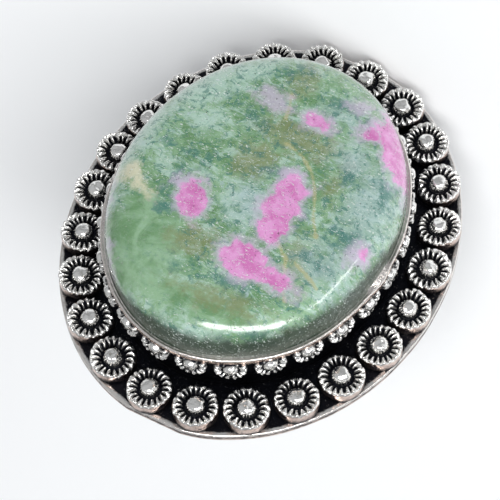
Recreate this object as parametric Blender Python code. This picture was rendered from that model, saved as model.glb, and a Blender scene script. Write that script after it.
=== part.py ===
"""A large finger ring of oxidised silver with an oval ruby in fuchsite cabochon.

Run with blender --background --python part.py, or from Blender's text editor.
Units are metres and +Z is up. The ring's head is drawn in a frame of its own: X along the short axis
of the oval, Y along its long axis, Z out of the stone's face, and Z = 0 on the top of the base plate.
A parent empty then lays the whole ring down on one end of its plate and on the side of its hoop.
"""
from math import atan2, cos, pi, sin

import bmesh
import bpy
import numpy as np

MM = 0.001
GAP = 0.1 * MM                     # room for solder between two pieces that touch

OVAL_SEGMENTS = 72                 # facets around the stone, the bezel and the plate

PLATE_SHORT = 14.66 * MM           # half of the plate's short axis
PLATE_LONG = 17.37 * MM            # half of its long axis
PLATE_THICK = 0.7 * MM
PLATE_EDGE_ROUND = 0.12 * MM
PLATE_END_FLAT = 0.15 * MM         # filed off both ends of the oval, so that the ring doesn't roll

RIM_SHORT = 11.07 * MM             # half of the bezel rim's short axis, outside
RIM_LONG = 13.26 * MM              # half of its long axis
RIM_TOP = 4.05 * MM                # height of the rim over the plate
RIM_BAND = 0.6 * MM                # height of the smooth turned-over band
RIM_ROUND = 0.1 * MM
CUP_THICK = 0.4 * MM               # from the band's outside to the stone
CUP_STEP = 0.25 * MM               # how far the cup's wall stands back from the band
CUP_SHIFT = (-0.22 * MM, -0.11 * MM)   # the cup sits a little off the middle of the plate

STONE_GIRTH_TOP = RIM_TOP + 0.7 * MM   # where the stone's upright side ends
STONE_SHOULDER = 2.4 * MM          # radius of the rounded shoulder
STONE_SHOULDER_STEPS = 4
STONE_CROWN = 0.3 * MM             # rise of the nearly flat top
STONE_TABLE = 0.5                  # the flat face in its middle, as a share of the top's width

STRIP_COUNT = 26                   # half rosettes around the cup's wall
STRIP_STEPS = 4                    # facets along each
STRIP_TOP = RIM_TOP - RIM_BAND - GAP
STRIP_BEAD_HEIGHT = 2.95 * MM
STRIP_LOWS = (2.75 * MM, 2.1 * MM, 1.85 * MM, 2.1 * MM)          # lower edge, from notch to notch
STRIP_FACES = (-0.1 * MM, 0.05 * MM, 0.12 * MM, 0.05 * MM)       # its face, out from the rim's outline
STRIP_BEADS = (-0.1 * MM, 0.05 * MM, 0.38 * MM, 0.05 * MM)       # its face at the height of the beads

ROSETTE_COUNT = 24
ROSETTE_SHORT = 12.92 * MM         # half axes of the oval on which the rosettes' middles lie
ROSETTE_LONG = 15.545 * MM
ROSETTE_START = 0.196              # place of the first one, as a share of that oval's length
ROSETTE_RIDGES = 12
ROSETTE_RADIUS = 1.72 * MM
ROSETTE_WALL = 0.85 * MM           # height of its upright wall
RIDGE_RADIUS = 1.32 * MM
RIDGE_TOP = 1.25 * MM
GROOVE_TOP = 1.0 * MM
GROOVE_RADIUS = 1.66 * MM
CHANNEL_RADIUS = 0.74 * MM
CHANNEL_FLOOR = 0.76 * MM
BEAD_RADIUS = 0.58 * MM
BEAD_SIDE = 1.2 * MM
BEAD_TOP = 1.5 * MM

HOOP_SEGMENTS = 48
HOOP_INSIDE = 8.65 * MM            # inner radius, a finger of 17.3 mm
HOOP_THICK = 1.4 * MM
HOOP_WIDE = 3.6 * MM
HOOP_SIDE = 0.8 * MM               # height of the flat sides of the half-round band
HOOP_SEAT = 0.5 * MM               # metal left where the hoop is filed flat against the plate
HOOP_WORN = 0.18 * MM              # worn off the hoop's round, opposite the plate
HOOP_BEND = 0.6                    # where the arched back has its bend, as a share of the half width
HOOP_BEND_RISE = 0.75              # and how much of the arch's height it has reached there

PLATE_UNDERSIDE = -PLATE_THICK
HOOP_TOP = PLATE_UNDERSIDE - GAP
HOOP_MIDDLE = HOOP_TOP - HOOP_SEAT - HOOP_INSIDE

STONE_GREEN = (0.36, 0.5, 0.38, 1.0)
SHARP_FROM = pi / 5                 # edges that turn by more than this are shaded sharp
SILVER = (0.75, 0.74, 0.72, 1.0)
DARK_SILVER = (0.12, 0.12, 0.13, 1.0)


def clear_scene():
    for thing in list(bpy.data.objects):
        bpy.data.objects.remove(thing, do_unlink=True)


def finish(name, colour, roughness, metallic):
    """A Principled material of one colour."""
    material = bpy.data.materials.new(name)
    material.use_nodes = True
    shader = material.node_tree.nodes["Principled BSDF"]
    shader.inputs["Base Color"].default_value = colour
    shader.inputs["Roughness"].default_value = roughness
    shader.inputs["Metallic"].default_value = metallic
    return material


def turns(count, start=0.5):
    """Angles around a full turn, with a facet, not a corner, at each quarter."""
    return (np.arange(count) + start) * 2 * pi / count


def loop(angles, short, long, height, shift=(0.0, 0.0)):
    """One closed row of points: an oval at a height, or a wavy one where a value is an array."""
    x = short * np.cos(angles) + shift[0]
    y = long * np.sin(angles) + shift[1]
    z = np.full(len(angles), 1.0) * height
    return np.stack([x, y, z], axis=1)


def skin(name, rows, ring=False, peak=None):
    """A closed mesh over rows of points, from the lowest row up.

    A ring joins its last row to its first. Anything else has a flat face on the first row, and on the
    last row a flat face or, with a peak, a fan up to that point.
    """
    count = len(rows[0])
    mesh = bmesh.new()
    grid = [[mesh.verts.new(point) for point in row] for row in rows]
    bands = list(zip(grid, grid[1:]))
    if ring:
        bands.append((grid[-1], grid[0]))
    for low, high in bands:
        for k in range(count):
            n = (k + 1) % count
            mesh.faces.new((low[k], low[n], high[n], high[k]))
    if not ring:
        mesh.faces.new(list(reversed(grid[0])))
    if peak is not None:
        tip = mesh.verts.new(peak)
        for k in range(count):
            mesh.faces.new((grid[-1][k], grid[-1][(k + 1) % count], tip))
    elif not ring:
        mesh.faces.new(grid[-1])
    bmesh.ops.recalc_face_normals(mesh, faces=mesh.faces)
    data = bpy.data.meshes.new(name)
    mesh.to_mesh(data)
    mesh.free()
    data.shade_smooth()
    data.set_sharp_from_angle(angle=SHARP_FROM)
    return data


def place(name, data, material, parent, location=(0.0, 0.0, 0.0), turn=0.0):
    """Adds an object under the parent, at a location and turned about its own Z."""
    if not data.materials:
        data.materials.append(material)
    thing = bpy.data.objects.new(name, data)
    bpy.context.scene.collection.objects.link(thing)
    thing.parent = parent
    thing.location = location
    thing.rotation_euler = (0.0, 0.0, turn)
    return thing


def cup_loop(angles, out, height):
    """A row around the bezel cup, so far out from the outline of its rim."""
    return loop(angles, RIM_SHORT + out, RIM_LONG + out, height, CUP_SHIFT)


def even_angles(short, long, count, start):
    """Angles of points spread evenly along an oval's length, from a start given as a share of it."""
    fine = np.linspace(0, 2 * pi, 3601)
    steps = np.hypot(np.diff(short * np.cos(fine)), np.diff(long * np.sin(fine)))
    length = np.concatenate([[0.0], np.cumsum(steps)])
    wanted = (np.arange(count) / count + start) % 1.0 * length[-1]
    return np.interp(wanted, length, fine)


def stone_mesh():
    """The cabochon: an upright side, a rounded shoulder and a nearly flat crowned top."""
    angles = turns(OVAL_SEGMENTS)
    side = -CUP_THICK - GAP
    rows = [cup_loop(angles, side, GAP)]
    for step in range(STONE_SHOULDER_STEPS + 1):
        bend = pi / 2 * step / STONE_SHOULDER_STEPS
        inset = STONE_SHOULDER * (1 - cos(bend))
        rows.append(cup_loop(angles, side - inset, STONE_GIRTH_TOP + STONE_SHOULDER * sin(bend)))
    short = RIM_SHORT + side - STONE_SHOULDER
    long = RIM_LONG + side - STONE_SHOULDER
    height = STONE_GIRTH_TOP + STONE_SHOULDER + STONE_CROWN * (1 - STONE_TABLE ** 2)
    rows.append(loop(angles, short * STONE_TABLE, long * STONE_TABLE, height, CUP_SHIFT))
    return skin("stone", rows)


def bezel_mesh():
    """The cup's wall with its turned-over band: the outside from the foot up, then down the inside."""
    angles = turns(OVAL_SEGMENTS)
    band_low = RIM_TOP - RIM_BAND
    profile = [
        (-CUP_STEP, GAP),
        (-CUP_STEP, band_low),
        (0.0, band_low),
        (0.0, RIM_TOP - RIM_ROUND),
        (-RIM_ROUND, RIM_TOP),
        (-CUP_THICK, RIM_TOP),
        (-CUP_THICK, GAP),
    ]
    return skin("bezel", [cup_loop(angles, out, height) for out, height in profile], ring=True)


def strip_mesh():
    """The band of half rosettes: a scalloped lower edge, and a bead in the middle of each scallop."""
    angles = even_angles(RIM_SHORT, RIM_LONG, STRIP_COUNT * STRIP_STEPS, 0.0)
    lows = np.tile(STRIP_LOWS, STRIP_COUNT)
    faces = np.tile(STRIP_FACES, STRIP_COUNT)
    beads = np.tile(STRIP_BEADS, STRIP_COUNT)
    back = -CUP_STEP + GAP
    rows = [
        cup_loop(angles, back, lows),
        cup_loop(angles, faces, lows),
        cup_loop(angles, beads, STRIP_BEAD_HEIGHT),
        cup_loop(angles, STRIP_FACES[0], STRIP_TOP),
        cup_loop(angles, back, STRIP_TOP),
    ]
    return skin("gallery_strip", rows, ring=True)


def plate_mesh():
    """The oval sheet that everything is soldered to, with a rounded edge."""
    angles = turns(OVAL_SEGMENTS)
    profile = [
        (PLATE_EDGE_ROUND, PLATE_UNDERSIDE),
        (0.0, PLATE_UNDERSIDE / 2),
        (PLATE_EDGE_ROUND, 0.0),
    ]
    rows = []
    for inset, height in profile:
        row = loop(angles, PLATE_SHORT - inset, PLATE_LONG - inset, height)
        end = PLATE_LONG - PLATE_END_FLAT - inset
        row[:, 1] = np.clip(row[:, 1], -end, end)
        rows.append(row)
    return skin("base_plate", rows)


def rosette_mesh():
    """A round stamping: a wall, a ring of radial ridges, a sunk channel and a bead in the middle."""
    angles = turns(2 * ROSETTE_RIDGES, 0.0)
    ridge = np.arange(2 * ROSETTE_RIDGES) % 2 == 0
    outside = np.where(ridge, ROSETTE_RADIUS, GROOVE_RADIUS)
    crest = np.where(ridge, RIDGE_TOP, GROOVE_TOP)
    rows = [
        loop(angles, GROOVE_RADIUS, GROOVE_RADIUS, 0.0),
        loop(angles, outside, outside, ROSETTE_WALL),
        loop(angles, RIDGE_RADIUS, RIDGE_RADIUS, crest),
        loop(angles, CHANNEL_RADIUS, CHANNEL_RADIUS, CHANNEL_FLOOR),
        loop(angles, BEAD_RADIUS, BEAD_RADIUS, BEAD_SIDE),
    ]
    return skin("rosette", rows, peak=(0.0, 0.0, BEAD_TOP))


def hoop_mesh():
    """The shank: a half-round band turned about the finger's axis.

    It is filed flat where it meets the plate, and worn a little flat opposite.
    """
    half = HOOP_WIDE / 2
    outside = HOOP_INSIDE + HOOP_THICK
    side_top = HOOP_INSIDE + HOOP_SIDE
    shoulder = HOOP_BEND * half
    shoulder_radius = side_top + (outside - side_top) * HOOP_BEND_RISE
    section = [
        (-half, HOOP_INSIDE),
        (half, HOOP_INSIDE),
        (half, side_top),
        (shoulder, shoulder_radius),
        (0.0, outside),
        (-shoulder, shoulder_radius),
        (-half, side_top),
    ]
    angles = turns(HOOP_SEGMENTS)
    rows = []
    for along, radius in section:
        lowest = HOOP_MIDDLE - radius + HOOP_WORN
        row = np.stack([
            radius * np.cos(angles),
            np.full(HOOP_SEGMENTS, along),
            np.clip(HOOP_MIDDLE + radius * np.sin(angles), lowest, HOOP_TOP),
        ], axis=1)
        rows.append(row)
    return skin("shank", rows, ring=True)


def points_of(things):
    """World positions of all the vertices of some objects."""
    bpy.context.view_layer.update()
    return np.array([thing.matrix_world @ vertex.co for thing in things for vertex in thing.data.vertices])


def lay_down(parent, plate, hoop, everything):
    """Turns the ring so that its plate's +Y end and its hoop's side both touch the ground.

    The lowest line under both is found in the Y-Z plane: it starts at the plate's lower edge and goes
    to the hoop corner that hangs lowest as seen from there. The origin ends up under the middle of the whole ring.
    """
    edge = points_of([plate])
    edge_y = edge[:, 1].max() - PLATE_EDGE_ROUND
    corners = points_of([hoop])
    slopes = np.arctan2(PLATE_UNDERSIDE - corners[:, 2], edge_y - corners[:, 1])
    lean = slopes.max()
    parent.rotation_euler = (-lean, 0.0, pi)
    low = points_of(everything).min(axis=0)
    high = points_of(everything).max(axis=0)
    parent.location = (-(low[0] + high[0]) / 2, -(low[1] + high[1]) / 2, -low[2])


def main():
    clear_scene()
    head = bpy.data.objects.new("ring_head", None)
    bpy.context.scene.collection.objects.link(head)

    stone = place("stone", stone_mesh(), finish("fuchsite", STONE_GREEN, 0.15, 0.0), head)
    bezel = place("bezel", bezel_mesh(), finish("bezel_silver", SILVER, 0.25, 1.0), head)
    strip = place("gallery_strip", strip_mesh(), finish("strip_silver", DARK_SILVER, 0.35, 1.0), head)
    plate = place("base_plate", plate_mesh(), finish("plate_silver", DARK_SILVER, 0.4, 1.0), head)
    hoop = place("shank", hoop_mesh(), finish("shank_silver", SILVER, 0.3, 1.0), head)
    things = [stone, bezel, strip, plate, hoop]

    rosette = rosette_mesh()
    rosette_silver = finish("rosette_silver", SILVER, 0.3, 1.0)
    angles = even_angles(ROSETTE_SHORT, ROSETTE_LONG, ROSETTE_COUNT, ROSETTE_START)
    for number, angle in enumerate(angles, start=1):
        middle = (ROSETTE_SHORT * cos(angle), ROSETTE_LONG * sin(angle), GAP)
        outward = atan2(middle[1], middle[0])
        things.append(place(f"rosette_{number:02d}", rosette, rosette_silver, head, middle, outward))

    lay_down(head, plate, hoop, things)


main()
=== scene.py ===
"""A ring of oxidised silver with an oval ruby in fuchsite cabochon, laid down on a pale floor.

Every piece is a surface worked out in the frame of the ring's head, in millimetres: X along the short
axis of the oval, Y along its long axis, Z out of the stone's face, and Z = 0 on the top of the plate.
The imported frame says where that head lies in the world.
"""
from math import atan2, cos, pi, radians, sin
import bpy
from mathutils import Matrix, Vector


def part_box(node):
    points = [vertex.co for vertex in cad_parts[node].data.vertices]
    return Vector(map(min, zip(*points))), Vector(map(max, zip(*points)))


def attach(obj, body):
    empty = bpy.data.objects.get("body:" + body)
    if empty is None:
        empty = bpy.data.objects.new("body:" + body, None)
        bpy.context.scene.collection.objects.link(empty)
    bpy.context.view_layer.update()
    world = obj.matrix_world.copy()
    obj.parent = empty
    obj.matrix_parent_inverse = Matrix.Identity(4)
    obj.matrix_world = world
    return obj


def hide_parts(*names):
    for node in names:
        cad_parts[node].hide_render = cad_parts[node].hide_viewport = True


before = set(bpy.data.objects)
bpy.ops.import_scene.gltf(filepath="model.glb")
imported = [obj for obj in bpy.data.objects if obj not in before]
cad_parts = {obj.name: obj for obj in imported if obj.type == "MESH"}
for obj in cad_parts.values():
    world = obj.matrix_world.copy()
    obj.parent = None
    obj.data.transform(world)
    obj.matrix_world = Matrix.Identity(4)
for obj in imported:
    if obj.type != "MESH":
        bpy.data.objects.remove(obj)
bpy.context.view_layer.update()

from types import SimpleNamespace

import bpy
import numpy as np
from mathutils import Matrix, Vector

bl_info = {
    "name": "Ruby in fuchsite ring",
    "version": (1, 0, 0),
    "blender": (4, 5, 0),
    "location": "View3D > Sidebar > Ring",
    "description": "Builds the stone, the oxidised silver setting and the stage of a cabochon ring",
    "category": "Object",
}

MM = 0.001

# Columns of the surfaces around the cup, the plate and the hoop, of one petal and of one half rosette, and
# the steps in which the length of an oval is measured.
CUP_COLUMNS = 480
PLATE_COLUMNS = 720
HOOP_COLUMNS = 360
PETAL_COLUMNS = 9
SCALLOP_COLUMNS = 36
OVAL_STEPS = 3600

# A stamped rosette, as shares of its radius: the bead in the middle, the sunk channel around it, the ring
# that is cut into petals, and the smooth lip at the outside.
BEAD = 0.43
BEAD_RISE = 0.5
CHANNEL_END = 0.53
CHANNEL_HEIGHT = 0.36
RING_MIDDLE = 0.78
RING_HALF = 0.25
RING_RISE = 0.1
PETAL_RISE = 0.26
LIP_START = 0.86
LIP_END = 0.97
LIP_RISE = 0.1

# Petals of a rosette on the plate, from the first number to one less than the second, and petals of a
# half rosette.
PETALS = (19, 22)
SCALLOP_PETALS = 14

# The overlap of the bezel's ends: its place and its reach each way, as angles of the rim's oval.
SEAM = radians(-5.5)
SEAM_REACH = radians(8)

# Shade painted on the stone's foot: the side that it is on, and how high up the shoulder it reaches,
# as a share.
SHADED_SIDE = radians(-54)
SHADE_LINE = 0.6

# How high the rosettes' beads, which the camera aims at, stand over the plate, in millimetres.
BEADS_HEIGHT = 1.2

# Half the floor's width and how far the two softboxes hang from the plate, in metres, and the directions,
# from the plate's middle, in which each softbox starts and ends.
FLOOR_HALF = 1.5
SOFTBOX_AWAY = 0.35
KEY_ENDS = ((0.10, -0.19, 0.97), (-0.82, -0.02, 0.57))
SIDE_ENDS = ((-0.84, -0.25, 0.48), (-0.62, -0.74, 0.25))

# How far outside every zone a point counts at most, in millimetres.
FAR_OUTSIDE = -9.0

# Zones of the stone, in the head's millimetres: middle x and y, half sizes across and along, and the lean
# of the along axis in degrees, to the left of straight up.
ZONES = {
    "ruby": ((-3.8, -3.2, 1.1, 1.5, 25), (2.3, 0.5, 1.1, 1.3, 0), (2.3, -0.9, 1.35, 1.1, 0),
             (2.6, -2.6, 1.15, 1.35, 0), (1.9, -6.0, 1.75, 1.35, -10), (4.5, -6.4, 1.4, 0.75, -8),
             (7.4, 7.6, 1.05, 2.9, 40), (5.5, 7.7, 0.7, 0.6, 0), (1.3, 6.8, 0.95, 0.5, 0),
             (9.3, -1.4, 0.25, 0.35, 0)),
    "lilac": ((-4.7, -2.3, 0.9, 0.6, 20), (-2.4, 7.2, 1.3, 0.9, 0), (3.6, 9.4, 0.8, 0.6, 0),
              (5.5, 8.2, 1.2, 0.9, 0), (2.2, 1.7, 1.1, 0.6, 0), (9.0, -2.0, 0.6, 0.9, 0),
              (-9.9, -6.5, 0.35, 1.6, 10), (-7.6, -9.8, 0.5, 1.6, 38)),
    "pale": ((-7.6, 6.0, 1.7, 3.2, -35), (-4.8, 9.4, 1.3, 2.2, -50), (-10.0, 0.5, 1.1, 4.2, 0),
             (-1.2, -1.9, 1.2, 0.9, 0), (0.2, -3.3, 1.1, 0.45, -30), (9.6, -4.5, 0.7, 2.2, -12),
             (-4.5, -12.3, 2.4, 0.6, -22), (-8.6, -9.6, 0.6, 2.6, 32), (1.0, -12.4, 2.6, 0.5, 4),
             (-6.8, 3.2, 1.6, 0.6, 15), (-9.3, -5.4, 0.9, 0.7, 0), (7.0, 9.9, 2.4, 0.4, -40)),
    "grey": ((8.0, 1.8, 1.8, 3.6, 10), (5.6, 5.0, 1.6, 1.4, 0), (0.2, -1.6, 1.5, 1.6, 0),
             (7.2, -4.0, 2.0, 1.4, 0), (3.0, 8.2, 1.4, 0.8, 0)),
    "teal": ((7.3, -0.9, 1.1, 0.8, 0), (-5.3, -4.6, 0.7, 0.7, 0), (-6.3, 0.3, 1.4, 0.45, -15),
             (-5.7, -3.1, 0.35, 1.2, 0), (0.9, 1.5, 1.2, 0.45, 10), (-3.3, 5.2, 1.1, 0.4, -20),
             (2.6, 8.9, 1.2, 0.4, 0), (5.6, -10.7, 1.2, 0.45, 15), (5.8, 3.3, 0.9, 0.4, 0),
             (6.6, -3.9, 0.8, 0.4, 0), (0.9, -8.1, 2.0, 0.28, 5), (4.1, -1.0, 0.3, 1.5, 0),
             (-2.6, 9.9, 1.0, 0.4, 20), (8.6, 3.6, 0.4, 0.9, 0)),
    "olive": ((0.8, 4.9, 3.2, 1.3, 0), (-1.2, 1.8, 1.6, 1.6, 0), (5.2, -4.2, 0.8, 2.2, 15),
              (2.2, -9.6, 2.6, 0.8, 5), (-2.2, -6.0, 1.5, 1.2, 0), (-1.3, 9.5, 1.1, 1.5, 0),
              (4.9, 2.6, 0.7, 1.6, 0)),
    "plain": ((-5.8, -8.4, 3.4, 3.6, 0), (-6.5, -5.6, 2.0, 1.4, 0), (0.8, -10.4, 4.4, 1.2, 5)),
    "cream": ((-9.2, -3.0, 0.9, 0.7, 0), (-8.2, -3.5, 0.9, 0.3, -25)),
}

# The thin veins, each a row of points x and y.
VEINS = (((-1.5, 8.2), (-1.1, 7.0), (-0.9, 6.0)),
         ((0.2, 4.1), (1.6, 3.7), (2.9, 2.8), (3.7, 1.7), (4.3, 0.6), (4.8, -0.6), (5.7, -2.0)),
         ((3.4, -3.6), (4.6, -4.6), (5.3, -6.3), (6.0, -7.6)),
         ((5.3, -4.5), (6.6, -5.1), (7.6, -5.6)))


def length(name, description, millimetres):
    """A length that a user can change, given here in millimetres."""
    return bpy.props.FloatProperty(name=name, description=description, default=millimetres * MM,
                                   unit="LENGTH", precision=5)


def tint(name, description, colour):
    """A colour that a user can change."""
    return bpy.props.FloatVectorProperty(name=name, description=description, default=colour,
                                         subtype="COLOR", size=3, min=0.0, max=1.0)


class RingSizes(bpy.types.PropertyGroup):
    plate_short: length("Plate, short", "Half of the plate's short axis", 14.66)
    plate_long: length("Plate, long", "Half of the plate's long axis", 17.37)
    plate_thick: length("Plate thickness", "Thickness of the base plate", 0.7)
    plate_edge: length("Plate edge", "Rounding of the plate's edge", 0.12)
    plate_flat: length("Plate ends", "Filed off both ends of the oval", 0.15)
    rim_short: length("Rim, short", "Half of the bezel rim's short axis, outside", 11.07)
    rim_long: length("Rim, long", "Half of the bezel rim's long axis, outside", 13.26)
    rim_top: length("Rim height", "Height of the rim over the plate", 4.05)
    rim_band: length("Band", "Height of the smooth band under the rim", 0.6)
    cup_thick: length("Bezel wall", "From the band's outside to the stone", 0.4)
    cup_step: length("Bezel step", "How far the wall stands back from the band", 0.25)
    cup_x: length("Cup across", "How far the cup sits off the plate's middle, across", -0.22)
    cup_y: length("Cup along", "How far the cup sits off the plate's middle, along", -0.11)
    girth: length("Stone girth", "Height of the stone's upright side over the rim", 0.7)
    shoulder: length("Stone shoulder", "Radius of the stone's rounded shoulder", 2.4)
    crown: length("Stone crown", "Rise of the stone's nearly flat top", 0.3)
    row_short: length("Rosette row, short", "Half of the short axis of the rosettes' oval", 12.92)
    row_long: length("Rosette row, long", "Half of the long axis of the rosettes' oval", 15.545)
    rosette: length("Rosette", "Radius of one rosette", 1.72)
    scallop: length("Half rosette", "Radius of one half rosette on the wall strip", 1.27)
    hoop_inside: length("Hoop inside", "Inner radius of the hoop", 8.65)
    hoop_thick: length("Hoop thickness", "Thickness of the half-round band", 1.4)
    hoop_wide: length("Hoop width", "Width of the half-round band", 3.6)
    hoop_side: length("Hoop side", "Height of the band's flat sides", 0.8)
    hoop_seat: length("Hoop seat", "Metal left where the hoop is filed flat", 0.5)
    hoop_worn: length("Hoop wear", "Worn off the hoop opposite the plate", 0.18)
    solder: length("Solder", "Room for solder between two pieces of the frame", 0.1)
    rosettes: bpy.props.IntProperty(name="Rosettes", description="Rosettes on the plate", default=24)
    scallops: bpy.props.IntProperty(name="Half rosettes", description="Half rosettes on the wall strip",
                                    default=26)
    row_start: bpy.props.FloatProperty(name="First rosette", default=0.196,
                                       description="Its place, as a share of the oval's length")


class RingFinishes(bpy.types.PropertyGroup):
    silver: tint("Silver", "Bright rubbed silver", (0.88, 0.87, 0.85))
    warm: tint("Warm silver", "Silver of the walls", (0.68, 0.53, 0.46))
    oxide: tint("Oxide", "Blackened silver in the recesses", (0.012, 0.013, 0.018))
    green: tint("Fuchsite green", "Main green of the stone", (0.12, 0.27, 0.11))
    leaf: tint("Leaf green", "Lighter green clouds", (0.25, 0.43, 0.25))
    pale: tint("Pale fuchsite", "Pale blue-green parts", (0.43, 0.61, 0.52))
    grey: tint("Grey fuchsite", "Blue-grey parts", (0.40, 0.53, 0.56))
    teal: tint("Teal", "Dark blue-green parts", (0.035, 0.17, 0.14))
    olive: tint("Olive", "Brownish green parts", (0.20, 0.23, 0.09))
    # The nearly black green is both the stone's real dark specks and the shade painted over its foot.
    shade_and_specks: tint("Deep green", "Nearly black green at the foot and in the pits", (0.016, 0.028, 0.013))
    fleck: tint("Flecks", "Small pale scratches and crystals", (0.78, 0.86, 0.82))
    ruby: tint("Ruby", "Pink ruby patches", (0.60, 0.16, 0.45))
    pink: tint("Pink", "Lighter parts of the ruby", (0.74, 0.33, 0.64))
    lilac: tint("Lilac", "Halo around the ruby", (0.54, 0.47, 0.60))
    vein: tint("Vein", "Yellow-brown veins", (0.46, 0.44, 0.20))
    cream: tint("Cream", "Cream patch at the rim", (0.68, 0.66, 0.48))


class RingStage(bpy.types.PropertyGroup):
    floor: tint("Floor", "Colour of the floor", (0.90, 0.91, 0.92))
    azimuth: bpy.props.FloatProperty(name="Azimuth", description="Camera's way round the head",
                                     default=radians(30.787), subtype="ANGLE")
    elevation: bpy.props.FloatProperty(name="Elevation", description="Camera's height over the head",
                                       default=radians(60.581), subtype="ANGLE")
    roll: bpy.props.FloatProperty(name="Roll", description="Camera's turn about its view",
                                  default=radians(-3.484), subtype="ANGLE")
    distance: length("Distance", "From the camera to the rosettes' beads", 200.0)
    focus: bpy.props.FloatProperty(name="Focal length", default=5.32,
                                   description="Focal length as a share of the picture's width")
    horizon: bpy.props.FloatProperty(name="Horizon", description="Brightness of the room low down",
                                     default=0.3)
    zenith: bpy.props.FloatProperty(name="Zenith", description="Brightness of the room overhead",
                                    default=0.5)
    key_power: bpy.props.FloatProperty(name="Key light", description="Power of the long softbox overhead",
                                       default=1.0, unit="POWER")
    key_wide: length("Key width", "Width of the softbox overhead", 95.0)
    side_power: bpy.props.FloatProperty(name="Side light", default=0.14, unit="POWER",
                                        description="Power of the thin softbox at the side")
    side_wide: length("Side width", "Width of the softbox at the side", 30.0)
    aim_right: length("Aim right", "Middle of the beads, to the right of the picture's middle", 0.82)
    aim_up: length("Aim up", "Middle of the beads, above the picture's middle", 1.707)


def millimetres(group):
    """All the lengths of a property group in millimetres, and its other numbers as they are."""
    values = {}
    for key in group.__annotations__:
        value = getattr(group, key)
        unit = group.bl_rna.properties[key].unit
        values[key] = value / MM if unit == "LENGTH" else value
    return SimpleNamespace(**values)


def head_place(size):
    """Turn (3x3) and place (mm) of the head in the world.

    The ring lies on the line from the plate's lower edge at its +Y end to the hoop's lower corner. The
    head is turned back by that line's slope and then half round, and it is put where the frame's plate is.
    """
    edge = Vector((size.plate_long - size.plate_flat - size.plate_edge, -size.plate_thick))
    middle = -size.plate_thick - size.solder - size.hoop_seat - size.hoop_inside
    side = size.hoop_inside + size.hoop_side
    corner = Vector((size.hoop_wide / 2, middle - side + size.hoop_worn))
    lean = atan2(edge.y - corner.y, edge.x - corner.x)
    turn = np.array(Matrix.Rotation(pi, 3, "Z") @ Matrix.Rotation(-lean, 3, "X"))
    low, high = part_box("base_plate")
    centre = np.array((low + high) / 2) / MM
    return turn, centre - turn @ np.array((0.0, 0.0, -size.plate_thick / 2))


def ripple(points, wave, seed):
    """A smooth wavy field of about -1 to 1: a sum of sines along random directions, with random phases.

    Each sine has 0.6 to 1.5 times the frequency of a wave of the given length. The sum is divided by the
    root of their number, which keeps its strength the same for any number.
    """
    rng = np.random.default_rng(seed)
    total = np.zeros(points.shape[:-1])
    waves = 7
    for _ in range(waves):
        way = rng.normal(size=3)
        way *= 2 * pi / wave * rng.uniform(0.6, 1.5) / np.linalg.norm(way)
        total += np.sin(points @ way + rng.uniform(0, 2 * pi))
    return total / waves ** 0.5


def smooth(low, high, value):
    """0 below low, 1 above high and an S-shaped rise between."""
    t = np.clip((value - low) / (high - low), 0.0, 1.0)
    return t * t * (3 - 2 * t)


def mix(a, b, share):
    """From a, where share is 0, to b, where it is 1, in a straight line."""
    return a + (b - a) * share


def even_angles(short, long, count, start=0.0):
    """Angles of points spread evenly along an oval's length, from a start given as a share of it."""
    fine = np.linspace(0, 2 * pi, OVAL_STEPS + 1)
    steps = np.hypot(np.diff(short * np.cos(fine)), np.diff(long * np.sin(fine)))
    total = np.concatenate([[0.0], np.cumsum(steps)])
    return np.interp((np.arange(count) / count + start) % 1.0 * total[-1], total, fine)


def turns(count):
    """Angles of a full turn in equal steps."""
    return np.arange(count) * 2 * pi / count


def oval(angles, short, long, height, out=0.0):
    """Points of an oval grown outwards by out along its own normal, at a height; arrays may be grids."""
    nx, ny = long * np.cos(angles), short * np.sin(angles)
    size = np.hypot(nx, ny)
    x = short * np.cos(angles) + out * nx / size
    y = long * np.sin(angles) + out * ny / size
    return np.stack(np.broadcast_arrays(x, y, height), axis=-1)


def closed_mesh(name, rows, ring=False, ends=(None, None), **marks):
    """A closed mesh over a grid of points (rows, columns, 3) in the head's millimetres.

    Each row closes on itself. A ring joins its last row to its first; any other grid ends in a point at
    each end. marks are grids of numbers, kept as attributes of the points. Faces are turned outwards by
    the sign of the volume that they enclose. What would reach under the floor is worn flat on it.
    """
    size = millimetres(bpy.context.scene.ring_sizes)
    turn, place = head_place(size)
    count, across = rows.shape[:2]
    points = rows.reshape(-1, 3)
    grid = np.arange(count * across).reshape(count, across)
    low = grid if ring else grid[:-1]
    high = np.roll(grid, -1, axis=0) if ring else grid[1:]
    quads = np.stack([low, np.roll(low, -1, 1), np.roll(high, -1, 1), high], axis=-1).reshape(-1, 4)
    faces = quads.tolist()
    corners = [points[quads[:, [0, 1, 2]]], points[quads[:, [0, 2, 3]]]]
    if not ring:
        tips = np.array([rows[0].mean(0) if ends[0] is None else ends[0],
                         rows[-1].mean(0) if ends[1] is None else ends[1]])
        points = np.vstack([points, tips])
        first = np.stack([np.roll(grid[0], -1), grid[0], np.full(across, count * across)], axis=-1)
        last = np.stack([grid[-1], np.roll(grid[-1], -1), np.full(across, count * across + 1)], axis=-1)
        faces += first.tolist() + last.tolist()
        corners += [points[first], points[last]]
    tris = np.concatenate(corners)
    volume = np.einsum("ij,ij->i", tris[:, 0], np.cross(tris[:, 1], tris[:, 2])).sum()
    if volume < 0:
        faces = [face[::-1] for face in faces]
    mesh = bpy.data.meshes.new(name)
    placed = (points @ turn.T + place) * MM
    placed[:, 2] = np.maximum(placed[:, 2], 0.0)
    mesh.from_pydata(placed, [], faces)
    mesh.shade_smooth()
    for key, values in marks.items():
        values = np.broadcast_to(values, rows.shape[:2]).ravel()
        if not ring:
            values = np.concatenate([values, [values[0], values[-1]]])
        mark = mesh.attributes.new(key, "FLOAT", "POINT")
        mark.data.foreach_set("value", values.astype(np.float32))
    mesh.validate()
    return mesh


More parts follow.
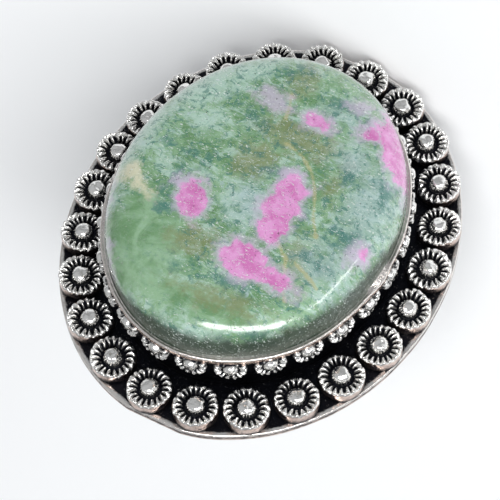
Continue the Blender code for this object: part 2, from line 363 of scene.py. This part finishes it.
def piece(name, mesh, material, slot, *nodes):
    """Adds a finished mesh as a piece that stands for some nodes of the frame."""
    thing = bpy.data.objects.new(name, mesh)
    bpy.context.scene.collection.objects.link(thing)
    mesh.materials.append(material)
    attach(thing, "root")
    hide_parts(*nodes)


def add(tree, kind, inputs=None, **settings):
    """Adds a shader node, with its settings, and its inputs set to values or joined to sockets."""
    made = tree.nodes.new(kind)
    for key, value in settings.items():
        setattr(made, key, value)
    for key, value in (inputs or {}).items():
        if isinstance(value, bpy.types.NodeSocket):
            tree.links.new(value, made.inputs[key])
        else:
            made.inputs[key].default_value = value
    return made


def compute(tree, operation, a, b=0.0):
    """Joins two numbers or sockets by a sum, a product or another operation."""
    return add(tree, "ShaderNodeMath", {0: a, 1: b}, operation=operation).outputs[0]


def ramp(tree, value, low, high, to_low=0.0, to_high=1.0):
    """A smooth step from to_low to to_high as the value goes from low to high."""
    inputs = {"Value": value, "From Min": low, "From Max": high, "To Min": to_low, "To Max": to_high}
    return add(tree, "ShaderNodeMapRange", inputs, interpolation_type="SMOOTHSTEP").outputs[0]


def blend(tree, share, a, b):
    """A colour between a and b."""
    return add(tree, "ShaderNodeMix", {0: share, 6: a, 7: b}, data_type="RGBA").outputs[2]


def noise(tree, where, scale, detail=4.0, rough=0.5, warp=0.0):
    """Noise between 0 and 1 with scale features to a millimetre."""
    inputs = {"Vector": where, "Scale": scale, "Detail": detail, "Roughness": rough, "Distortion": warp}
    return add(tree, "ShaderNodeTexNoise", inputs).outputs[0]


def head_coordinates(tree, size):
    """Object coordinates turned and moved into the head's own frame, in millimetres."""
    turn, place = head_place(size)
    where = add(tree, "ShaderNodeTexCoord").outputs["Object"]
    back = Matrix(turn.T.tolist())
    inputs = {"Vector": where, "Location": tuple(-(turn.T @ place)),
              "Rotation": tuple(back.to_euler("XYZ")), "Scale": (1 / MM,) * 3}
    return add(tree, "ShaderNodeMapping", inputs, vector_type="POINT").outputs[0]


def new_material(name):
    """A material with its node tree and its main shader."""
    material = bpy.data.materials.new(name)
    material.use_nodes = True
    tree = material.node_tree
    return material, tree, tree.nodes["Principled BSDF"]


def four(colour):
    """A colour with a full alpha, as colour sockets take it."""
    return (*colour, 1.0)


def silver_material(size, finish):
    """Oxidised silver: the rub attribute says how bright the metal is, warm how much of it is wall.

    Stains, grain and specks are added to the rub before it is turned into bright metal or oxide.
    """
    found = bpy.data.materials.get("rubbed_silver")
    if found:
        return found
    material, tree, shader = new_material("rubbed_silver")
    where = head_coordinates(tree, size)
    rub = add(tree, "ShaderNodeAttribute", attribute_name="rub").outputs["Fac"]
    warm = add(tree, "ShaderNodeAttribute", attribute_name="warm").outputs["Fac"]
    stain = noise(tree, where, 1.6, 6.0, 0.65)
    grain = noise(tree, where, 9.0, 4.0, 0.6)
    specks = noise(tree, where, 6.0, 3.0, 0.7, 1.0)
    worn = compute(tree, "ADD", rub, ramp(tree, stain, 0.3, 0.7, -0.16, 0.14))
    worn = compute(tree, "ADD", worn, ramp(tree, grain, 0.3, 0.7, -0.14, 0.14))
    worn = compute(tree, "ADD", worn, ramp(tree, specks, 0.6, 0.7, 0.0, 0.3))
    bright = ramp(tree, worn, 0.2, 0.75)
    metal = blend(tree, warm, four(finish.silver), four(finish.warm))
    tree.links.new(blend(tree, bright, four(finish.oxide), metal), shader.inputs["Base Color"])
    shader.inputs["Metallic"].default_value = 1.0
    tree.links.new(ramp(tree, bright, 0.0, 1.0, 0.45, 0.18), shader.inputs["Roughness"])
    dents = compute(tree, "MULTIPLY", noise(tree, where, 2.2, 2.0, 0.5), 0.08)
    height = compute(tree, "ADD", dents, compute(tree, "MULTIPLY", grain, 0.02))
    bump = add(tree, "ShaderNodeBump", {"Height": height, "Strength": 0.6, "Distance": MM})
    tree.links.new(bump.outputs[0], shader.inputs["Normal"])
    return material


def stone_material(size, finish):
    """Ruby in fuchsite: clouds and streaks of green, with zones read from attributes.

    Each zone attribute is the distance inside a zone's edge in millimetres. Noise is added to it before
    it is turned into a mask, so the edges wander and crumble as they do in the stone. The layers lie over
    one another in their order, the last on top.
    """
    material, tree, shader = new_material("polished_fuchsite")
    where = head_coordinates(tree, size)
    streaky = add(tree, "ShaderNodeMapping", {"Vector": where, "Rotation": (0.0, 0.0, radians(24)),
                                              "Scale": (0.55, 1.5, 0.8)}).outputs[0]
    cloud = noise(tree, where, 0.42, 7.0, 0.62, 0.7)
    streak = noise(tree, streaky, 0.9, 8.0, 0.66, 0.9)
    mottle = noise(tree, where, 1.5, 9.0, 0.72, 0.8)
    wander = noise(tree, where, 0.9, 7.0, 0.62)
    crumb = noise(tree, where, 4.5, 5.0, 0.7, 0.6)
    grit = noise(tree, where, 5.5, 3.0, 0.62, 0.4)
    flecks = noise(tree, streaky, 6.5, 2.0, 0.6, 1.2)
    edge = compute(tree, "ADD", ramp(tree, wander, 0.25, 0.75, -0.75, 0.75),
                   ramp(tree, crumb, 0.3, 0.7, -0.22, 0.22))

    def zone(name, low, high, strength, loose=1.0):
        """Mask of a zone, full where its depth is over high; loose says how far its edge wanders."""
        depth = add(tree, "ShaderNodeAttribute", attribute_name=name).outputs["Fac"]
        depth = compute(tree, "ADD", depth, compute(tree, "MULTIPLY", edge, loose))
        return ramp(tree, depth, low, high, 0.0, strength)

    busy = compute(tree, "SUBTRACT", 1.0, compute(tree, "MULTIPLY", zone("plain", -0.9, 0.6, 1.0), 0.85))

    def marks(value, low, high, strength):
        """Mask of a noise's peaks, or of its hollows if low is over high, weak on plain stone."""
        return compute(tree, "MULTIPLY", ramp(tree, value, low, high, 0.0, strength), busy)

    ruby = blend(tree, ramp(tree, wander, 0.4, 0.62), four(finish.ruby), four(finish.pink))
    ruby = blend(tree, ramp(tree, crumb, 0.62, 0.7, 0.0, 0.45), ruby, four(finish.lilac))
    # Painted shade: nearly black green laid over the stone's foot on one side; that foot is also rougher
    # and barely coated.
    foot = zone("shade_and_specks", -0.4, 0.7, 0.93, 0.35)
    layers = (
        (marks(streak, 0.48, 0.62, 0.8), four(finish.pale)),
        (zone("olive", -0.8, 0.8, 0.75), four(finish.olive)),
        (zone("pale", -0.6, 0.8, 0.8), four(finish.pale)),
        (zone("grey", -1.2, 1.2, 0.62), four(finish.grey)),
        (marks(mottle, 0.5, 0.38, 0.75), four(finish.teal)),
        (zone("teal", -0.5, 0.6, 0.85), four(finish.teal)),
        (marks(mottle, 0.56, 0.68, 0.7), four(finish.grey)),
        (zone("cream", -0.5, 0.4, 0.9, 0.6), four(finish.cream)),
        (zone("vein", -0.24, -0.02, 0.65, 0.16), four(finish.vein)),
        (zone("lilac", -0.6, 0.5, 0.75, 0.7), four(finish.lilac)),
        (zone("ruby", -0.75, 0.1, 0.75, 0.55), four(finish.lilac)),
        (zone("ruby", -0.14, 0.16, 1.0, 0.42), ruby),
        # Painted shade over the foot.
        (foot, four(finish.shade_and_specks)),
        # The stone's real dark specks.
        (marks(grit, 0.36, 0.31, 0.8), four(finish.shade_and_specks)),
        (marks(flecks, 0.62, 0.665, 0.9), four(finish.fleck)),
    )
    colour = blend(tree, ramp(tree, cloud, 0.38, 0.62), four(finish.green), four(finish.leaf))
    for share, tone in layers:
        colour = blend(tree, share, colour, tone)
    tree.links.new(colour, shader.inputs["Base Color"])

    pits = ramp(tree, noise(tree, where, 3.6, 3.0, 0.6, 0.8), 0.63, 0.72, 0.0, -0.035)
    swell = compute(tree, "MULTIPLY", noise(tree, where, 0.5, 2.0, 0.5), 0.05)
    height = compute(tree, "ADD", compute(tree, "ADD", pits, swell),
                     ramp(tree, flecks, 0.66, 0.7, 0.0, 0.02))
    bump = add(tree, "ShaderNodeBump", {"Height": height, "Strength": 0.9, "Distance": MM})
    tree.links.new(bump.outputs[0], shader.inputs["Normal"])
    tree.links.new(bump.outputs[0], shader.inputs["Coat Normal"])
    rough = compute(tree, "ADD", ramp(tree, crumb, 0.35, 0.7, 0.16, 0.26),
                    compute(tree, "MULTIPLY", foot, 0.12))
    tree.links.new(rough, shader.inputs["Roughness"])
    tree.links.new(ramp(tree, foot, 0.1, 0.9, 1.0, 0.0), shader.inputs["Coat Weight"])
    shader.inputs["IOR"].default_value = 1.7
    shader.inputs["Coat Roughness"].default_value = 0.13
    return material


def inside_spots(points, spots):
    """How far inside the nearest of some ovals each point lies, in millimetres; negative outside.

    In the oval's own leaning axes, a point's offset over the half sizes gives 1 on the edge. What that is
    short of 1, times the smaller half size, is about the distance.
    """
    best = np.full(points.shape[:-1], FAR_OUTSIDE)
    for x, y, across, along, lean in spots:
        turn = radians(lean)
        dx, dy = points[..., 0] - x, points[..., 1] - y
        reach = np.hypot((dx * cos(turn) + dy * sin(turn)) / across,
                         (dy * cos(turn) - dx * sin(turn)) / along)
        best = np.maximum(best, (1 - reach) * min(across, along))
    return best


def inside_veins(points, veins):
    """The same for thin veins, each a few straight stretches: less the distance to the nearest stretch."""
    best = np.full(points.shape[:-1], FAR_OUTSIDE)
    for vein in veins:
        for start, end in zip(vein, vein[1:]):
            start, run = np.array(start), np.subtract(end, start)
            away = points[..., :2] - start
            share = np.clip(away @ run / (run @ run), 0, 1)
            best = np.maximum(best, -np.linalg.norm(away - share[..., None] * run, axis=-1))
    return best


def painted_foot_shade(points, size):
    """How far below a line on the shoulder a point lies, on the side of the stone where shade is painted
    on its foot.

    The depth is 1.1 times the height under the line. Away from that side up to 2.5 is taken off, so the
    painted shade fades out around the stone.
    """
    around = np.arctan2(points[..., 1] - size.cup_y, points[..., 0] - size.cup_x)
    line = size.rim_top + size.girth + SHADE_LINE * size.shoulder
    facing = smooth(0.1, 0.75, np.cos(around - SHADED_SIDE))
    return (line - points[..., 2]) * 1.1 - 2.5 * (1 - facing)


def stone_surface(size):
    """The cabochon as rows from the foot to the crown's middle.

    The outline is the rim's oval drawn in by the bezel's wall, which it touches. The side rises straight,
    the shoulder is a quarter of a circle, and the top is a low parabola over what is left of the oval.
    """
    angles = turns(CUP_COLUMNS)
    touch = 0.02
    side = -size.cup_thick + touch
    foot = size.solder
    top = size.rim_top + size.girth
    rows = [oval(angles, size.rim_short, size.rim_long, z, side) for z in np.linspace(foot, top, 16)]
    for bend in np.linspace(0, pi / 2, 32)[1:]:
        height = top + size.shoulder * sin(bend)
        inset = size.shoulder * (1 - cos(bend))
        rows.append(oval(angles, size.rim_short, size.rim_long, height, side - inset))
    short = size.rim_short + side - size.shoulder
    long = size.rim_long + side - size.shoulder
    for share in np.linspace(1, 0, 68)[1:-1]:
        height = top + size.shoulder + size.crown * (1 - share ** 2)
        rows.append(oval(angles, short * share, long * share, height))
    rows = np.array(rows) + (size.cup_x, size.cup_y, 0.0)
    tip = (size.cup_x, size.cup_y, top + size.shoulder + size.crown)
    return rows, tip


def bezel_surface(size):
    """The cup's wall and its turned-over band, as rows around one profile: foot, wall, band, rim, inside.

    Each row of the profile is out from the rim's oval, height, rub and warm. The band bulges by a sine and
    bends over by a quarter of a circle, and both waver with ripples. At the seam a bump, smooth along the
    oval, swells and drops the outside of the band, pinches and lifts the inside, and a groove halfway
    across stays dark.
    """
    angles = turns(CUP_COLUMNS)
    top = size.rim_top
    low = top - size.rim_band
    step = size.cup_step
    thick = size.cup_thick
    bend, bulge = 0.12, 0.02
    drop, lift = -0.12, 0.3
    swell, pinch = 0.1, -0.22
    profile = [(-step, z, 0.1, 0.0) for z in np.linspace(0.0, low - 0.1, 8)]
    profile += [(-step * 0.6, low - 0.03, 0.1, 0.0), (-0.06, low, 0.4, 0.5), (-0.01, low + 0.06, 0.9, 0.8)]
    profile += [(bulge * sin(pi * t), mix(low + 0.06, top - bend, t), 0.75, 1.0)
                for t in np.linspace(0.12, 0.88, 5)]
    profile += [(-bend * (1 - cos(t)), top - bend + bend * sin(t), 1.0, 0.3)
                for t in np.linspace(0, pi / 2, 5)]
    profile += [(-0.2, top - 0.02, 0.8, 0.3), (-thick + 0.12, top - 0.03, 0.8, 0.3)]
    profile += [(-thick + 0.05, top, 1.0, 0.0), (-thick, top - 0.05, 0.8, 0.0)]
    profile += [(-thick, top - 0.3, 0.2, 0.0), (-thick, 1.5, 0.0, 0.0), (-thick, 0.0, 0.0, 0.0)]
    outs, heights, rubs, warms = (np.array(column)[:, None] for column in zip(*profile))

    flat = oval(angles, size.rim_short, size.rim_long, 0.0)
    wobble = ripple(flat, 9.0, 5) * 0.03 + ripple(flat, 2.5, 6) * 0.012
    rise = ripple(flat, 7.0, 7) * 0.03
    upper = smooth(low - 0.5, low + 0.1, heights)
    away = np.abs((angles - SEAM + pi) % (2 * pi) - pi)
    seam = smooth(SEAM_REACH, 0.0, away) * upper
    inner = smooth(-0.05, -thick, outs)
    heights = heights + rise * upper + seam * mix(drop, lift, inner)
    outs = outs + wobble * upper + seam * mix(swell, pinch, inner)
    groove = smooth(0.35, 0.5, inner) * smooth(0.65, 0.5, inner) * seam
    rubs = rubs * (1 - 0.8 * groove)
    rows = oval(angles[None], size.rim_short, size.rim_long, heights, outs)
    rows = rows + (size.cup_x, size.cup_y, 0.0)
    return rows, rubs, warms


def disc_height(r, around, petals, radius, outside=0.5):
    """Height over the base and brightness of a stamped rosette, at a distance and angle from its middle.

    The bead is the root of 1 less the fourth power of its share, nearly flat on top. After the channel
    comes a ring, half an ellipse in section, times a wave around it to a power that falls outwards: the
    petals are narrow inside and broad outside. Where outside is 1, on the side that faces the plate's
    edge, the ring ends in a smooth rubbed lip. Heights are shares of the radius.
    """
    share = r / radius
    bead = np.clip(1 - (share / BEAD) ** 4, 0, 1) ** 0.5
    ring = np.clip(1 - ((share - RING_MIDDLE) / RING_HALF) ** 2, 0, 1) ** 0.5
    narrow, broad = 1.5, 0.24
    power = mix(narrow, broad, np.clip((share - 0.56) / 0.3, 0, 1))
    petal = (0.5 + 0.5 * np.cos(petals * around)) ** power
    lip = smooth(LIP_START, LIP_END, share) * outside
    height = CHANNEL_HEIGHT + ring * (RING_RISE + PETAL_RISE * petal) + lip * LIP_RISE
    height = np.where(share < BEAD, CHANNEL_HEIGHT + BEAD_RISE * bead, height)
    bright = ring ** 0.7 * smooth(0.2, 0.75, petal) * mix(0.8, 1.2, outside) + lip * 0.85
    bright = np.where(share < BEAD, 0.4 + 0.65 * smooth(0.1, 0.6, bead), bright)
    return height, bright


def rosette_surface(size, number, middle, outward):
    """One rosette on the plate: rows from the middle of its foot, up its wall and over to its bead.

    Every row is a circle. On the wall its height is a share of the rim's, and inside it is disc_height.
    The whole is then turned, leant and dented by ripples, the more the higher a point lies.
    """
    smallest, largest = 0.985, 1.015
    dent_wave, dent_depth, dent_seed = 0.8, 0.04, 40
    rng = np.random.default_rng(100 + number)
    petals = int(rng.integers(*PETALS))
    radius = size.rosette * rng.uniform(smallest, largest)
    across = petals * PETAL_COLUMNS
    angles = turns(across)
    spin = outward + rng.uniform(0, 2 * pi)
    outside = smooth(-0.5, 0.7, np.cos(angles + spin - outward))
    rim, _ = disc_height(np.full(across, radius), angles, petals, radius, outside)
    wall = rim * radius * 0.97

    rows, rubs, warms = [], [], []

    def row(share, height, rub, warm):
        """Adds a circle, its radius given as a share."""
        x, y = share * radius * np.cos(angles), share * radius * np.sin(angles)
        rows.append(np.stack([x, y, height], axis=-1))
        rubs.append(rub)
        warms.append(np.full(across, warm))

    # Shares of the radius and of the wall's height, and the rub, which is weaker towards the stone.
    sides = ((0.985, 0.0, 0.1), (0.99, 0.12, 0.25), (1.0, 0.4, 0.5), (1.003, 0.7, 0.65), (1.003, 0.92, 0.7))
    for share, rise, rub in sides:
        row(share, rise * wall, rub * mix(0.35, 1.0, outside), 1.0)
    ring = np.linspace(0.995, CHANNEL_END, 32)
    channel = np.linspace(CHANNEL_END - 0.02, BEAD + 0.01, 4)
    bead = BEAD * np.cos(np.linspace(0.02, pi / 2, 13)[:-1])
    for share in np.concatenate([ring, channel, bead]):
        height, bright = disc_height(np.full(across, share * radius), angles, petals, radius, outside)
        row(share, height * radius, bright, 0.0)
    tip = np.array((0.0, 0.0, (CHANNEL_HEIGHT + BEAD_RISE) * radius))
    lean = rng.normal(scale=0.035, size=2)
    turn = np.array([[cos(spin), -sin(spin), 0], [sin(spin), cos(spin), 0], [0, 0, 1.0]])

    def settle(points):
        """Turns, leans, dents and places the rosette."""
        points = points @ turn.T
        lifted = np.clip(points[..., 2] / (0.5 * radius), 0, 1)
        tilt = lifted * (points[..., 0] * lean[0] + points[..., 1] * lean[1])
        dent = ripple(points + middle, dent_wave, dent_seed + number) * dent_depth * lifted
        return points + dent[..., None] * (0.6, 0.6, 1.0) + tilt[..., None] * (0.0, 0.0, 1.0) + middle

    return settle(np.array(rows)), settle(tip[None])[0], np.array(rubs), np.array(warms)


def strip_surface(size):
    """The band of half rosettes on the cup's wall: a height field over its length, closed behind.

    Each point belongs to the nearest half rosette. Its distance along the wall and its height over the
    row of beads give the rosette's own height. A share of that, relief, is counted outwards from a sunk
    level, and outside the disc the ground of the strip is left.
    """
    count = size.scallops * SCALLOP_COLUMNS
    angles = even_angles(size.rim_short, size.rim_long, count)
    fine = even_angles(size.rim_short, size.rim_long, OVAL_STEPS)
    loop = oval(fine, size.rim_short, size.rim_long, 0.0)
    around = np.linalg.norm(loop - np.roll(loop, 1, axis=0), axis=1).sum()
    pitch = around / size.scallops
    along = ((np.arange(count) / SCALLOP_COLUMNS + 0.5) % 1.0 - 0.5) * pitch
    top = size.rim_top - size.rim_band + 0.06
    foot = 1.62
    beads = size.rim_top - 1.1
    sunk = -0.42
    relief = 0.75
    heights = np.linspace(top, foot, 46)[:, None]
    down = heights - beads
    r = np.hypot(along[None], down)
    height, bright = disc_height(r, np.arctan2(down, along[None]), SCALLOP_PETALS, size.scallop)
    edge = smooth(size.scallop, size.scallop - 0.12, r)
    ground = -size.cup_step + 0.02
    out = mix(ground, sunk + height * size.scallop * relief, edge)
    flat = oval(angles, size.rim_short, size.rim_long, 0.0)
    out = out + ripple(flat, 1.1, 9) * 0.02 * edge
    front = oval(angles[None], size.rim_short, size.rim_long, heights, out)
    inside = -size.cup_step - 0.05
    back = np.array([oval(angles, size.rim_short, size.rim_long, z, inside) for z in (foot, top)])
    rows = np.concatenate([front, back]) + (size.cup_x, size.cup_y, 0.0)
    rubs = np.concatenate([bright * edge * 0.95, np.zeros((len(back), count))])
    return rows, rubs


def plate_surface(size):
    """The oval sheet: the underside from its middle out, the rounded edge, and the top back to the middle.

    Each row is the plate's oval, shrunk to a share or drawn in by out, and filed flat at both ends. The
    edge is two quarters of a circle with an upright stretch between, and wavers. On top the metal is
    rubbed bright next to the edge and stained dark a little further in.
    """
    angles = turns(PLATE_COLUMNS)
    flat = oval(angles, size.plate_short, size.plate_long, 0.0)
    wobble = -0.05 + 0.02 * ripple(flat, 6.0, 21)
    bend = size.plate_edge
    rubbed, stained = 0.1, 0.28
    rows, rubs, warms = [], [], []

    def row(share, height, out, rub, warm):
        """Adds the plate's oval at a height."""
        points = oval(angles, size.plate_short * share, size.plate_long * share, height, out)
        end = size.plate_long - size.plate_flat + np.min(out)
        points[:, 1] = np.clip(points[:, 1], -end, end)
        rows.append(points)
        rubs.append(rub)
        warms.append(warm)

    shares = np.linspace(0.08, 0.955, 24)
    for share in shares:
        row(share, -size.plate_thick, 0.0, 0.8, 0.0)
    for t in np.linspace(-pi / 2, 0, 7):
        row(1.0, -size.plate_thick + bend * (1 + sin(t)), wobble - bend * (1 - cos(t)), 0.7, 0.6)
    row(1.0, -size.plate_thick / 2, wobble, 0.32, 1.0)
    for t in np.linspace(0, pi / 2, 9):
        row(1.0, bend * (sin(t) - 1), wobble - bend * (1 - cos(t)), 0.6 + 0.5 * sin(t), 0.2)
    row(1.0, 0.0, wobble - bend - rubbed, 0.75, 0.0)
    row(1.0, 0.0, wobble - bend - stained, 0.15, 0.0)
    for share in shares[::-1]:
        row(share, 0.0, 0.0, 0.08, 0.0)
    return np.array(rows), np.array(rubs)[:, None], np.array(warms)[:, None]


def hoop_surface(size):
    """The half-round hoop: a section of flat inside, flat sides and an arched back, turned about Y.

    The inside is nearly flat and rises by the fourth power near its edges, and the back is half an
    ellipse. The hoop is cut level under the plate and where it is worn, opposite.
    """
    angles = turns(HOOP_COLUMNS)
    half = size.hoop_wide / 2
    inside = size.hoop_inside
    rise = size.hoop_thick - size.hoop_side
    bow = 0.06
    section = [(y, inside + bow * (y / half) ** 4) for y in np.linspace(-half * 0.97, half * 0.97, 12)]
    section += [(half, inside + t * size.hoop_side) for t in np.linspace(0.12, 0.9, 6)]
    section += [(half * sin(a) * 0.99, inside + size.hoop_side + rise * cos(a))
                for a in np.linspace(pi / 2, -pi / 2, 25)]
    section += [(-half, inside + t * size.hoop_side) for t in np.linspace(0.9, 0.12, 6)]
    middle = -size.plate_thick - size.solder - size.hoop_seat - inside
    rows = []
    for y, radius in section:
        lowest = middle - radius + size.hoop_worn
        z = np.clip(middle + radius * np.sin(angles), lowest, -size.plate_thick)
        rows.append(np.stack([radius * np.cos(angles), np.full(len(angles), y), z], axis=-1))
    return np.array(rows)


class RING_OT_stone(bpy.types.Operator):
    """Makes the ruby in fuchsite cabochon"""
    bl_idname = "ring.make_stone"
    bl_label = "Stone"

    def execute(self, context):
        size = millimetres(context.scene.ring_sizes)
        rows, tip = stone_surface(size)
        zones = {name: inside_spots(rows, spots) for name, spots in ZONES.items()}
        zones["vein"] = inside_veins(rows, VEINS)
        # Depth under the line of the shade painted on the stone's foot.
        zones["shade_and_specks"] = painted_foot_shade(rows, size)
        mesh = closed_mesh("cabochon", rows, ends=(None, tip), **zones)
        piece("cabochon", mesh, stone_material(size, context.scene.ring_finishes), "fuchsite", "stone")
        return {"FINISHED"}


class RING_OT_bezel(bpy.types.Operator):
    """Makes the smooth cup that holds the stone"""
    bl_idname = "ring.make_bezel"
    bl_label = "Bezel"

    def execute(self, context):
        size = millimetres(context.scene.ring_sizes)
        rows, rubs, warms = bezel_surface(size)
        mesh = closed_mesh("bezel_cup", rows, ring=True, rub=rubs, warm=warms)
        piece("bezel_cup", mesh, silver_material(size, context.scene.ring_finishes), "silver", "bezel")
        return {"FINISHED"}


class RING_OT_strip(bpy.types.Operator):
    """Makes the band of half rosettes around the cup"""
    bl_idname = "ring.make_strip"
    bl_label = "Gallery strip"

    def execute(self, context):
        size = millimetres(context.scene.ring_sizes)
        rows, rubs = strip_surface(size)
        mesh = closed_mesh("half_rosettes", rows, ring=True, rub=rubs, warm=0.0)
        piece("half_rosettes", mesh, silver_material(size, context.scene.ring_finishes),
              "oxidised_silver", "gallery_strip")
        return {"FINISHED"}


class RING_OT_plate(bpy.types.Operator):
    """Makes the oval plate under everything"""
    bl_idname = "ring.make_plate"
    bl_label = "Base plate"

    def execute(self, context):
        size = millimetres(context.scene.ring_sizes)
        rows, rubs, warms = plate_surface(size)
        mesh = closed_mesh("oval_plate", rows, rub=rubs, warm=warms)
        piece("oval_plate", mesh, silver_material(size, context.scene.ring_finishes),
              "oxidised_silver", "base_plate")
        return {"FINISHED"}


class RING_OT_rosettes(bpy.types.Operator):
    """Makes the row of rosettes on the plate"""
    bl_idname = "ring.make_rosettes"
    bl_label = "Rosettes"

    def execute(self, context):
        size = millimetres(context.scene.ring_sizes)
        material = silver_material(size, context.scene.ring_finishes)
        angles = even_angles(size.row_short, size.row_long, size.rosettes, size.row_start)
        for number, angle in enumerate(angles, start=1):
            middle = np.array((size.row_short * cos(angle), size.row_long * sin(angle), 0.0))
            outward = atan2(middle[1], middle[0])
            rows, tip, rubs, warms = rosette_surface(size, number, middle, outward)
            name = f"silver_rosette_{number:02d}"
            mesh = closed_mesh(name, rows, ends=(None, tip), rub=rubs, warm=warms)
            piece(name, mesh, material, "oxidised_silver", f"rosette_{number:02d}")
        return {"FINISHED"}


class RING_OT_hoop(bpy.types.Operator):
    """Makes the half-round hoop under the plate"""
    bl_idname = "ring.make_hoop"
    bl_label = "Shank"

    def execute(self, context):
        size = millimetres(context.scene.ring_sizes)
        mesh = closed_mesh("finger_hoop", hoop_surface(size), ring=True, rub=0.8, warm=0.0)
        piece("finger_hoop", mesh, silver_material(size, context.scene.ring_finishes), "silver", "shank")
        return {"FINISHED"}


def lay_floor(scene, settings):
    """The floor: one pale square on which the ring lies."""
    half = FLOOR_HALF
    mesh = bpy.data.meshes.new("floor")
    corners = [(-half, -half, 0), (half, -half, 0), (half, half, 0), (-half, half, 0)]
    mesh.from_pydata(corners, [], [(0, 1, 2, 3)])
    floor = bpy.data.objects.new("floor", mesh)
    scene.collection.objects.link(floor)
    material, _, shader = new_material("floor")
    shader.inputs["Base Color"].default_value = four(settings.floor)
    shader.inputs["Roughness"].default_value = 0.7
    mesh.materials.append(material)


def light_room(scene, settings):
    """The room's own light: slightly blue, and brighter overhead than low down."""
    world = bpy.data.worlds.new("studio")
    world.use_nodes = True
    tree = world.node_tree
    way = add(tree, "ShaderNodeTexCoord").outputs["Generated"]
    rise = add(tree, "ShaderNodeSeparateXYZ", {0: way}).outputs[2]
    sky = ramp(tree, rise, 0.0, 0.6, settings.horizon, settings.zenith)
    shade = tree.nodes["Background"]
    shade.inputs["Color"].default_value = (0.96, 0.98, 1.0, 1.0)
    tree.links.new(sky, shade.inputs["Strength"])
    scene.world = world
    scene.view_settings.view_transform = "Standard"


def softbox(name, middle, ends, wide, power):
    """A long light that hangs around the middle and reaches from one direction to another."""
    first, last = (Vector(end).normalized() for end in ends)
    way = (first + last).normalized()
    along = (last - first).normalized()
    data = bpy.data.lights.new(name, "AREA")
    data.shape = "RECTANGLE"
    data.size = SOFTBOX_AWAY * (last - first).length
    data.size_y = wide
    data.energy = power
    light = bpy.data.objects.new(name, data)
    bpy.context.scene.collection.objects.link(light)
    axes = Matrix((along, way.cross(along), way)).transposed().to_4x4()
    light.matrix_world = Matrix.Translation(middle + way * SOFTBOX_AWAY) @ axes


def set_camera(scene, settings, turn, place):
    """The camera, placed in the head's frame, in millimetres, and then taken into the world.

    It looks back along the direction given by azimuth and elevation, turned by roll about that line. The
    middle of the rosettes' beads stands to the right of the picture's middle and above it.
    """
    back = Vector((sin(settings.azimuth) * cos(settings.elevation),
                   -cos(settings.azimuth) * cos(settings.elevation), sin(settings.elevation)))
    right = (-back).cross(Vector((0, 0, 1))).normalized()
    up = right.cross(-back)
    across = cos(settings.roll) * right + sin(settings.roll) * up
    above = -sin(settings.roll) * right + cos(settings.roll) * up
    beads = Vector((0.0, 0.0, BEADS_HEIGHT))
    eye = beads + (settings.distance * back - settings.aim_right * across
                   - settings.aim_up * above) / MM
    to_world = Matrix(turn.tolist())
    data = bpy.data.cameras.new("camera")
    data.sensor_width = 36.0
    data.lens = settings.focus * data.sensor_width
    data.clip_start = 0.01
    camera = bpy.data.objects.new("camera", data)
    scene.collection.objects.link(camera)
    axes = Matrix((to_world @ across, to_world @ above, to_world @ back)).transposed()
    camera.matrix_world = Matrix.Translation((to_world @ eye + Vector(place)) * MM) @ axes.to_4x4()
    scene.camera = camera


class RING_OT_stage(bpy.types.Operator):
    """Makes the floor, the lights and the camera"""
    bl_idname = "ring.make_stage"
    bl_label = "Stage"

    def execute(self, context):
        scene = context.scene
        settings = scene.ring_stage
        turn, place = head_place(millimetres(scene.ring_sizes))
        middle = Vector(place) * MM
        lay_floor(scene, settings)
        light_room(scene, settings)
        softbox("key", middle, KEY_ENDS, settings.key_wide, settings.key_power)
        softbox("side", middle, SIDE_ENDS, settings.side_wide, settings.side_power)
        set_camera(scene, settings, turn, place)
        return {"FINISHED"}


class RING_PT_panel(bpy.types.Panel):
    bl_idname = "RING_PT_panel"
    bl_label = "Ruby in fuchsite ring"
    bl_space_type = "VIEW_3D"
    bl_region_type = "UI"
    bl_category = "Ring"

    def draw(self, context):
        layout = self.layout
        for operator in STEPS:
            layout.operator(operator.bl_idname)
        for group in (context.scene.ring_sizes, context.scene.ring_finishes, context.scene.ring_stage):
            box = layout.box()
            for key in group.__annotations__:
                box.prop(group, key)


STEPS = (RING_OT_stage, RING_OT_plate, RING_OT_bezel, RING_OT_strip, RING_OT_rosettes, RING_OT_hoop,
         RING_OT_stone)
CLASSES = (RingSizes, RingFinishes, RingStage, *STEPS, RING_PT_panel)


def register():
    for made in CLASSES:
        bpy.utils.register_class(made)
    bpy.types.Scene.ring_sizes = bpy.props.PointerProperty(type=RingSizes)
    bpy.types.Scene.ring_finishes = bpy.props.PointerProperty(type=RingFinishes)
    bpy.types.Scene.ring_stage = bpy.props.PointerProperty(type=RingStage)


def unregister():
    del bpy.types.Scene.ring_stage
    del bpy.types.Scene.ring_finishes
    del bpy.types.Scene.ring_sizes
    for made in reversed(CLASSES):
        bpy.utils.unregister_class(made)


def main():
    register()
    bpy.ops.ring.make_stage()
    bpy.ops.ring.make_plate()
    bpy.ops.ring.make_bezel()
    bpy.ops.ring.make_strip()
    bpy.ops.ring.make_rosettes()
    bpy.ops.ring.make_hoop()
    bpy.ops.ring.make_stone()


if __name__ == "__main__":
    main()
